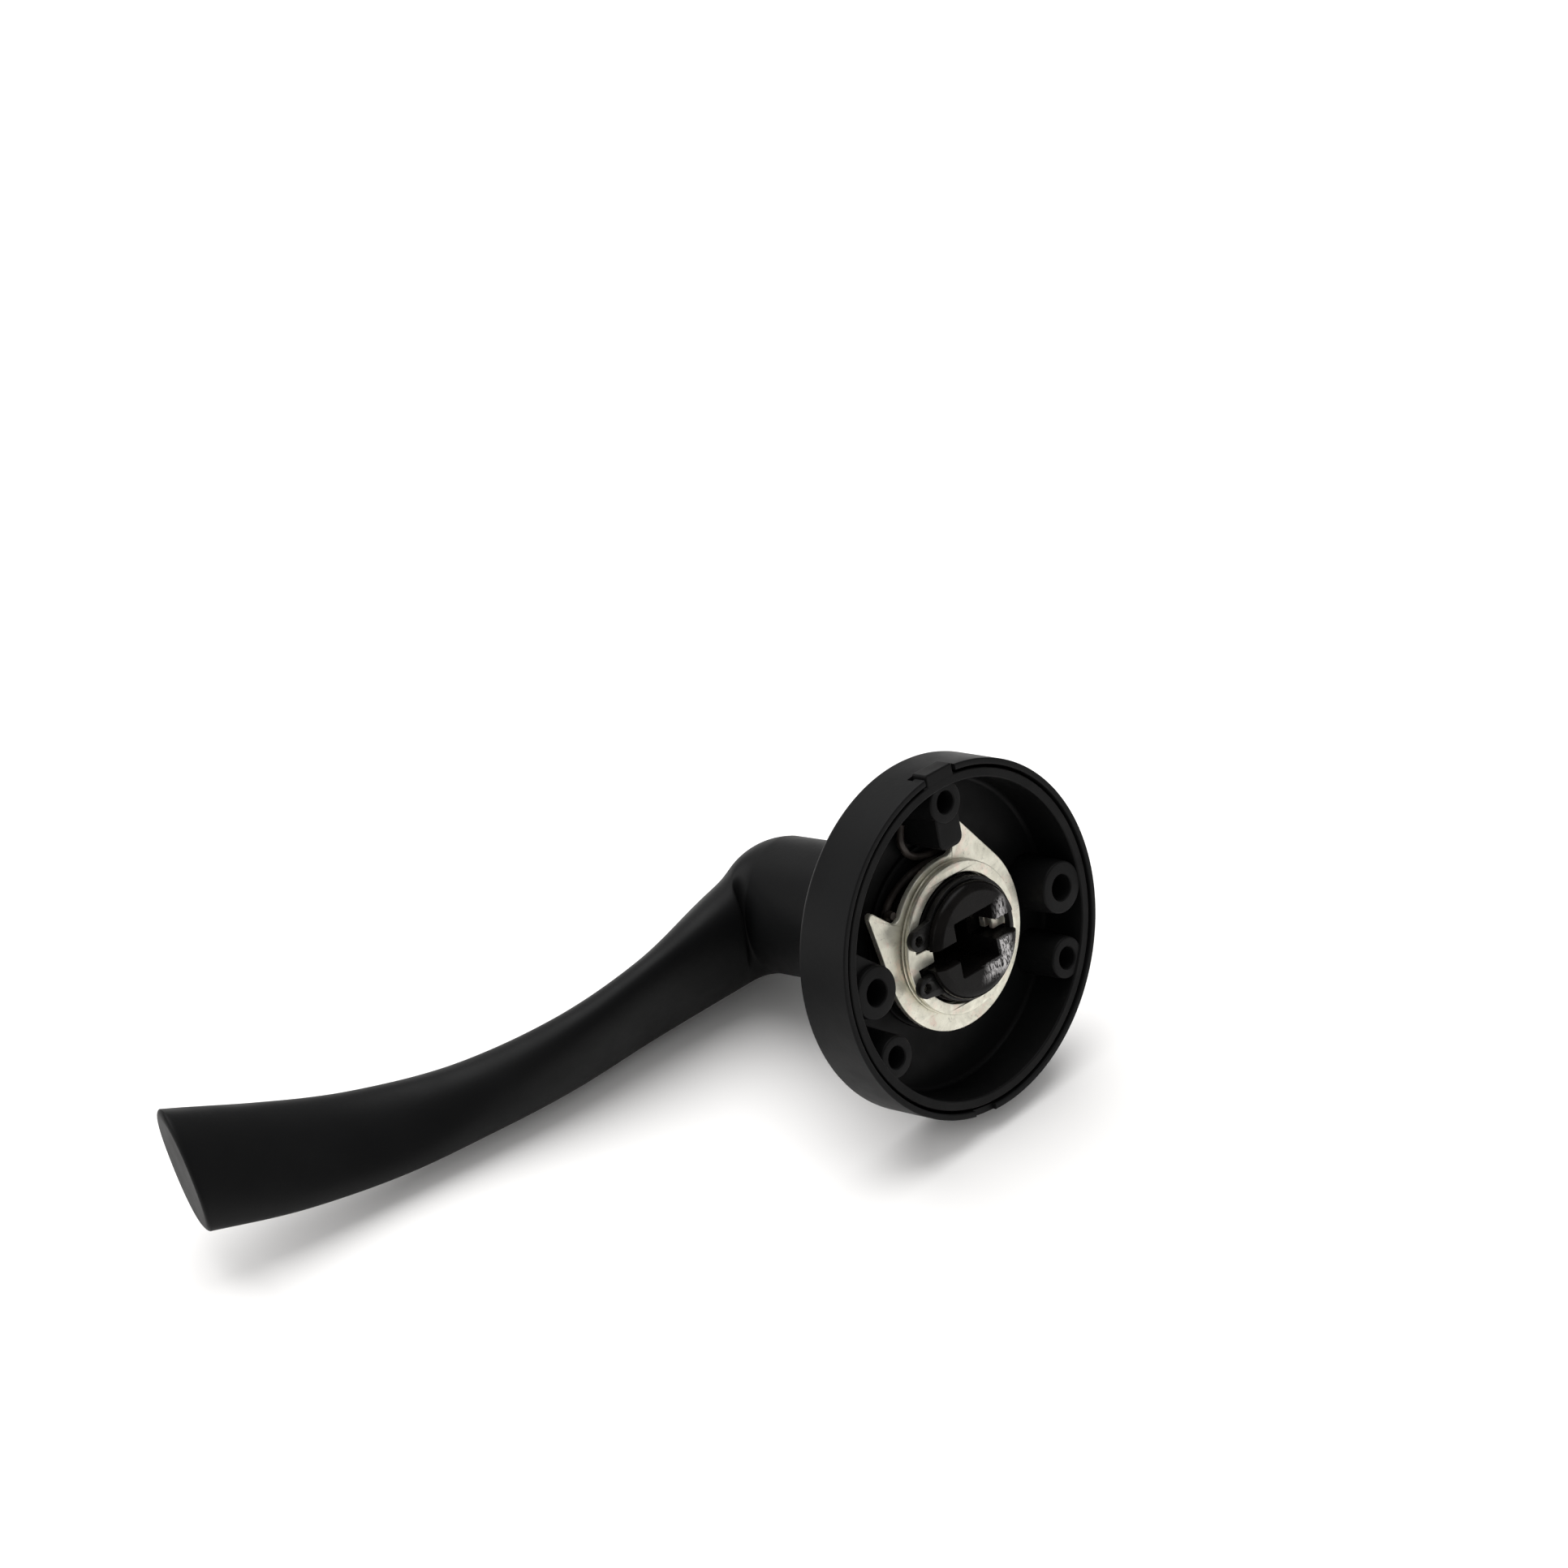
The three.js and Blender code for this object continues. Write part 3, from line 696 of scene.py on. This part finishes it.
def circlip(material):
    """Open ring, widest at +X, with a drilled lug on each side of its gap, which faces -X."""
    radius = CLIP_LUG["radius"]
    lug_z = CLIP_GAP / 2 + radius
    lug_x = -math.sqrt(CLIP_LUG["pitch"] ** 2 - lug_z ** 2)
    gap = math.degrees(math.asin(CLIP_GAP / 2 / CLIP_INNER))
    join = math.degrees(math.atan2(lug_z, -lug_x)) + CLIP_LUG["join"]
    lower = arc((lug_x, lug_z), radius, 352, 180, LUG_SEGMENTS)
    upper = arc((lug_x, -lug_z), radius, 0, -172, LUG_SEGMENTS)
    outer = arc((CLIP_OFFSET, 0), CLIP_OUTER, 270 - join, -90 + join, 140)
    inner = arc((0, 0), CLIP_INNER, -90 + gap, 270 - gap, 140)
    outline = [*inner, *lower, *outer, *upper]
    holes = [circle(CLIP_LUG["hole"], LUG_SEGMENTS, (lug_x, z)) for z in (lug_z, -lug_z)]
    ring = slab("circlip_ring", outline, CLIP_HIGH.y, CLIP_LOW.y, CLIP_EDGE, holes)
    dress(ring, material, PRESSED_SHARP)
    place(ring, "lever", "circlip")


def spline(points, steps, alpha):
    """Catmull-Rom curve through points of any size. Alpha 0 is uniform and 0.5 is centripetal."""
    knots = [2 * points[0] - points[1], *points, 2 * points[-1] - points[-2]]
    curve = []
    for a, b, c, d in zip(knots, knots[1:], knots[2:], knots[3:]):
        t0 = 0.0
        t1 = t0 + max((b - a).length ** alpha, 1e-6)
        t2 = t1 + max((c - b).length ** alpha, 1e-6)
        t3 = t2 + max((d - c).length ** alpha, 1e-6)
        for k in range(steps):
            t = lerp(t1, t2, k / steps)
            ab = a * ((t1 - t) / (t1 - t0)) + b * ((t - t0) / (t1 - t0))
            bc = b * ((t2 - t) / (t2 - t1)) + c * ((t - t1) / (t2 - t1))
            cd = c * ((t3 - t) / (t3 - t2)) + d * ((t - t2) / (t3 - t2))
            abc = ab * ((t2 - t) / (t2 - t0)) + bc * ((t - t0) / (t2 - t0))
            bcd = bc * ((t3 - t) / (t3 - t1)) + cd * ((t - t1) / (t3 - t1))
            curve.append(abc * ((t2 - t) / (t2 - t1)) + bcd * ((t - t1) / (t2 - t1)))
    curve.append(points[-1])
    return curve


def spring_path():
    """Leg on the stop block, low turn, rise, high turn and the end bent up to the plate."""
    low, high, end = COIL_LOW, COIL_HIGH, SPRING_END
    points = [Vector((x, low["level"], z)) for x, z in SPRING_LEG]
    for angle in range(SPRING_TURNS["start"], SPRING_TURNS["end"] + 1, SPRING_TURNS["step"]):
        rise = smoothstep(angle, SPRING_TURNS["rise"], SPRING_TURNS["flat"])
        x, z = polar(lerp(low["radius"], high["radius"], rise), angle)
        points.append(Vector((x, lerp(low["level"], high["level"], rise), z)))
    bend_x, bend_z = polar((high["radius"] + end["radius"]) / 2, end["angle"] - end["bend"])
    end_x, end_z = polar(end["radius"], end["angle"])
    points.append(Vector((bend_x, high["level"], bend_z)))
    points.append(Vector((end_x, high["level"] + end["lift"], end_z)))
    points.append(Vector((end_x, end["top"], end_z)))
    return spline(points, 6, 0.5)


def return_spring(material):
    """Round wire, with a low turn and a high turn."""
    path = spring_path()
    rings = []
    across = Vector((0, 1, 0))
    for i, point in enumerate(path):
        along = (path[min(i + 1, len(path) - 1)] - path[max(i - 1, 0)]).normalized()
        across = (across - along * across.dot(along)).normalized()
        side = along.cross(across)
        ring = []
        for k in range(WIRE_SIDES):
            angle = TAU * k / WIRE_SIDES
            ring.append(point + (across * math.cos(angle) + side * math.sin(angle)) * WIRE / 2)
        rings.append(ring)
    spring = loft("return_spring", rings)
    dress(spring, material, PRESSED_SHARP)
    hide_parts("torsion_spring")
    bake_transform(spring)


# ---------------------------------------------------------------- lever

def rounded_power(value):
    return math.copysign(abs(value) ** (2 / SQUARENESS), value)


def grip_offset(section, angle):
    """Leaning section of the grip: offsets toward the room and along Z from its centre."""
    _, _, _, height, depth, lean = section
    across = rounded_power(math.cos(angle))
    up = rounded_power(math.sin(angle))
    return depth * (math.sqrt(1 - lean * lean) * across - lean * up), height * up


def grip_sections(steps):
    """Sections along the grip, from a smooth curve through the listed ones."""
    centres = [Vector(row[:3]) for row in GRIP]
    shapes = [Vector(row[3:]) for row in GRIP]
    per_span = steps // (len(GRIP) - 1)
    rows = zip(spline(centres, per_span, 0.0), spline(shapes, per_span, 0.0))
    return [(*centre, *shape) for centre, shape in rows]


def neck_z(radius, level, angle):
    """Z of a point on the neck, which swells a little on its -Z side toward the elbow."""
    upper = math.sin(angle)
    swell = ELBOW_CROWN * smoothstep(level, ELBOW_CROWN_FROM, ELBOW_START) if upper < 0 else 0.0
    return (radius + swell) * upper


def neck_rings(angles):
    """Round rings from the keyed end to the start of the elbow, with the circlip's groove."""
    turns = [math.radians(degrees) for degrees in range(0, 91, 10)]
    dome = [(NECK_LAND - NECK_DOME * (1 - math.sin(turn)),
             NECK_END - NECK_DOME * (1 - math.cos(turn))) for turn in turns]
    groove = [
        (NECK_LAND, GROOVE_TOP + GROOVE_BEVEL), (NECK_LAND - GROOVE_BEVEL, GROOVE_TOP),
        (GROOVE_RADIUS, GROOVE_TOP), (GROOVE_RADIUS, GROOVE_BOTTOM),
        (NECK_INNER - GROOVE_BEVEL, GROOVE_BOTTOM), (NECK_INNER, GROOVE_BOTTOM - GROOVE_BEVEL),
    ]
    shoulder = [
        (NECK_INNER, NECK_SHOULDER + SHOULDER_ROOT), (NECK_INNER + SHOULDER_ROOT, NECK_SHOULDER),
        (NECK_OUTER - SHOULDER_RIM, NECK_SHOULDER),
        (NECK_OUTER - SHOULDER_BEVEL, NECK_SHOULDER - SHOULDER_BEVEL),
        (NECK_OUTER, NECK_SHOULDER - SHOULDER_RIM),
    ]
    shaft = [(NECK_OUTER, y) for y in (*range(-12, -30, -2), ELBOW_START)]
    profile = [(SOCKET_HALF, NECK_END)] + dome + groove + shoulder + shaft
    return [[(radius * math.cos(a), y, neck_z(radius, y, a)) for a in angles]
            for radius, y in profile]


def elbow_rings(angles, first):
    """Rings that turn from the neck to the grip, flat outside and with a small fillet inside."""
    pivot_x, pivot_y = ELBOW_PIVOT
    rings = []
    for i in range(1, ELBOW_STEPS):
        share = i / ELBOW_STEPS
        turn = share * math.pi / 2
        eased = smoothstep(share)
        reach_mix, height_mix = eased ** ELBOW_TURN["reach"], eased ** ELBOW_TURN["height"]
        across, away = (value ** ELBOW_TURN["corner"] for value in (math.cos(turn), math.sin(turn)))
        ring = []
        for angle in angles:
            out, up = grip_offset(first, angle)
            neck_reach = ELBOW_FILLET + NECK_OUTER * (1 + math.cos(angle))
            reach = lerp(neck_reach, pivot_y - first[1] + out, reach_mix)
            z = lerp(neck_z(NECK_OUTER, ELBOW_START, angle), first[2] + up, height_mix)
            ring.append((pivot_x + reach * across, pivot_y - reach * away, z))
        rings.append(ring)
    return rings


def grip_rings(angles, sections):
    """Rings along the grip, leaning toward its slanted end face, which has a rounded rim."""
    rings = []
    last = len(sections) - 1
    for i, section in enumerate(sections):
        x, y, z, _, depth, _ = section
        tilt = smoothstep(i / last, TIP["from"], 1.0)
        turns = range(0, 91, 15) if i == last else [0]
        for degrees in turns:
            turn = math.radians(degrees)
            shrink = 1 - TIP["edge"] / depth * (1 - math.cos(turn))
            ring = []
            for angle in angles:
                out, up = (offset * shrink for offset in grip_offset(section, angle))
                lean = TIP["tilt_height"] * up - TIP["tilt_depth"] * out
                ring.append((x + tilt * lean - TIP["edge"] * math.sin(turn), y - out, z + up))
            rings.append(ring)
    return rings


def relaxed(rings, first, last, passes):
    """Rings drawn toward their neighbours, most in the middle, to round the inside of the elbow."""
    for _ in range(passes):
        drawn = []
        for i in range(first, last):
            along = (i - first) / (last - first)
            pull = along * (1 - along)
            drawn.append([tuple(b + (a - 2 * b + c) * pull for a, b, c in zip(*points))
                          for points in zip(*rings[i - 1:i + 2])])
        rings = rings[:first] + drawn + rings[last:]
    return rings


def mouth_tool(name, half_x, half_z, bottom):
    """Square cutter that widens at the end face of the neck."""
    flare, rings = MOUTH_FLARE, []
    for grow, level in ((0, bottom), (0, NECK_END - flare), (flare, NECK_END),
                        (flare + CLEAR, NECK_END + CLEAR)):
        x, z = half_x + grow, half_z + grow
        outline = fillet(rectangle(-x, x, -z, z), MOUTH_CORNER, 4)
        rings.append([(ring_x, level, ring_z) for ring_x, ring_z in outline])
    return loft(name, rings)


def lever_casting(coat, end):
    """Coated casting, bare inside the rose and in the socket."""
    angles = [TAU * i / SIDES for i in range(SIDES)]
    sections = grip_sections(GRIP_STEPS)
    neck = neck_rings(angles)
    rings = neck + elbow_rings(angles, sections[0]) + grip_rings(angles, sections)
    first, last = len(neck) + ELBOW_STEPS // 2, len(neck) + ELBOW_STEPS + RELAXED_REACH
    casting = loft("lever_casting", relaxed(rings, first, last, RELAXED_PASSES))
    tools = [
        mouth_tool("socket", SOCKET_HALF, SOCKET_HALF, SOCKET_BOTTOM),
        mouth_tool("slot", NECK_INNER + CLEAR, SLOT_HALF, SLOT_BOTTOM),
    ]
    combine(casting, tools, "DIFFERENCE")
    casting.data.materials.append(coat)
    casting.data.materials.append(end)
    for face in casting.data.polygons:
        inside = math.hypot(face.center.x, face.center.z) < (NECK_OUTER - 0.1) * MM
        bare = face.center.y > (NECK_SHOULDER - 0.05) * MM
        in_socket = inside and face.center.y > (SOCKET_BOTTOM - 0.1) * MM
        face.material_index = 1 if bare or in_socket else 0
    smooth(casting)
    place(casting, "lever", "lever")


# ---------------------------------------------------------------- scene

# The camera's place and aim are in millimetres, and everything else here is in metres. A light's
# direction is its share of up from the table, toward the camera, and to the camera's right.
CAMERA = {"lens": 111.8, "sensor": 36.0, "place": (-429.1, 451.52, -246.79),
          "aim": (-13.47, -17.01, -26.26), "up": (0.3613, -0.115, -0.9253), "clip": (0.01, 20)}
TABLE = {"sideways": 0.07, "tilts": (10, 40), "halvings": 40, "half_size": 3.0,
         "white": (0.9, 0.89, 0.88, 1)}
HANDLE_MIDDLE = Vector((-0.03, -0.02, 0))
KEY = {"direction": (1.0, -0.5, -0.3), "strength": 2.9, "width": 65}
FILL = {"direction": (0.5, 0.4, -1.0), "power": 4, "size": 0.8, "distance": 1.2}
ROOM = {"light": 0.62, "seen": 1.0, "mirrored": 0.14}


def table_plane():
    """Direction and distance of the table, which touches the rose and the grip alike."""
    rose = [vertex.co for vertex in bpy.data.objects["cover_shell"].data.vertices]
    grip = [vertex.co for vertex in bpy.data.objects["lever_casting"].data.vertices]
    low, high = (math.radians(degrees) for degrees in TABLE["tilts"])
    for _ in range(TABLE["halvings"]):
        tilt = (low + high) / 2
        normal = Vector((TABLE["sideways"], -math.sin(tilt), math.cos(tilt))).normalized()
        if max(normal.dot(p) for p in grip) > max(normal.dot(p) for p in rose):
            high = tilt
        else:
            low = tilt
    return normal, max(normal.dot(p) for p in rose)


def one_sided_floor_material():
    """Bright matte white, clear when it is looked at from underneath."""
    material = bpy.data.materials.new("table")
    material.use_nodes = True
    tree = material.node_tree
    shader = tree.nodes["Principled BSDF"]
    shader.inputs["Base Color"].default_value = TABLE["white"]
    shader.inputs["Roughness"].default_value = 0.8
    clear = tree.nodes.new("ShaderNodeBsdfTransparent")
    mix = tree.nodes.new("ShaderNodeMixShader")
    side = tree.nodes.new("ShaderNodeNewGeometry")
    tree.links.new(side.outputs["Backfacing"], mix.inputs["Fac"])
    tree.links.new(shader.outputs["BSDF"], mix.inputs[1])
    tree.links.new(clear.outputs["BSDF"], mix.inputs[2])
    tree.links.new(mix.outputs["Shader"], tree.nodes["Material Output"].inputs["Surface"])
    return material


def add_object(name, data, location, rotation):
    made = bpy.data.objects.new(name, data)
    made.location = location
    made.rotation_mode = "QUATERNION"
    made.rotation_quaternion = rotation
    bpy.context.scene.collection.objects.link(made)
    return made


def add_floor(normal, height):
    size = TABLE["half_size"]
    corners = [(-size, -size, 0), (size, -size, 0), (size, size, 0), (-size, size, 0)]
    mesh = bpy.data.meshes.new("table")
    mesh.from_pydata(corners, [], [(0, 1, 2, 3)])
    mesh.materials.append(one_sided_floor_material())
    table = add_object("table", mesh, normal * height, (-normal).to_track_quat("Z", "Y"))


def aimed(target, origin, up):
    """Rotation that looks from the origin at the target with `up` on top."""
    back = (origin - target).normalized()
    right = up.cross(back).normalized()
    top = back.cross(right)
    return Matrix((right, top, back)).transposed().to_quaternion()


def add_camera():
    data = bpy.data.cameras.new("camera")
    data.lens = CAMERA["lens"]
    data.sensor_width = CAMERA["sensor"]
    data.clip_start, data.clip_end = CAMERA["clip"]
    origin = Vector(CAMERA["place"]) * MM
    rotation = aimed(Vector(CAMERA["aim"]) * MM, origin, Vector(CAMERA["up"]))
    bpy.context.scene.camera = add_object("camera", data, origin, rotation)


def add_room():
    """White backdrop. The black finishes mirror a dimmer room than the table is lit by."""
    world = bpy.data.worlds.new("studio")
    world.use_nodes = True
    tree = world.node_tree
    background = tree.nodes["Background"]
    background.inputs["Color"].default_value = (1.0, 1.0, 1.0, 1)
    path = tree.nodes.new("ShaderNodeLightPath")
    mirrored = tree.nodes.new("ShaderNodeMath")
    seen = tree.nodes.new("ShaderNodeMath")
    for step, ray, level in ((seen, "Is Camera Ray", ROOM["seen"]),
                             (mirrored, "Is Glossy Ray", ROOM["mirrored"])):
        step.operation = "MULTIPLY_ADD"
        tree.links.new(path.outputs[ray], step.inputs[0])
        step.inputs[1].default_value = level - ROOM["light"]
    seen.inputs[2].default_value = ROOM["light"]
    tree.links.new(seen.outputs[0], mirrored.inputs[2])
    tree.links.new(mirrored.outputs[0], background.inputs["Strength"])
    bpy.context.scene.world = world


def add_lights(normal):
    """Soft studio light: a wide one above and behind the handle, and a smaller one on its left."""
    up = -normal
    view = (bpy.context.scene.camera.location - HANDLE_MIDDLE).normalized()
    toward = (view - up * view.dot(up)).normalized()
    right = up.cross(toward).normalized()

    def direction(light):
        shares = light["direction"]
        return (up * shares[0] + toward * shares[1] + right * shares[2]).normalized()

    key = bpy.data.lights.new("key", "SUN")
    key.energy = KEY["strength"]
    key.angle = math.radians(KEY["width"])
    add_object("key", key, (0, 0, 0), direction(KEY).to_track_quat("Z", "Y"))
    fill = bpy.data.lights.new("fill", "AREA")
    fill.shape = "SQUARE"
    fill.size = FILL["size"]
    fill.energy = FILL["power"]
    origin = HANDLE_MIDDLE + direction(FILL) * FILL["distance"]
    add_object("fill", fill, origin, direction(FILL).to_track_quat("Z", "Y"))


def main():
    coat = powder_coat()
    zinc = zinc_plate()
    cover_shell(coat)
    base_moulding(black_nylon())
    return_spring(spring_steel())
    lever_casting(coat, cast_end())
    stop_plate(zinc)
    wave_washer(zinc)
    keyed_washer(zinc)
    circlip(black_steel())
    normal, height = table_plane()
    add_floor(normal, height)
    add_camera()
    add_lights(normal)
    add_room()
    bpy.context.scene.view_settings.view_transform = "Standard"


main()
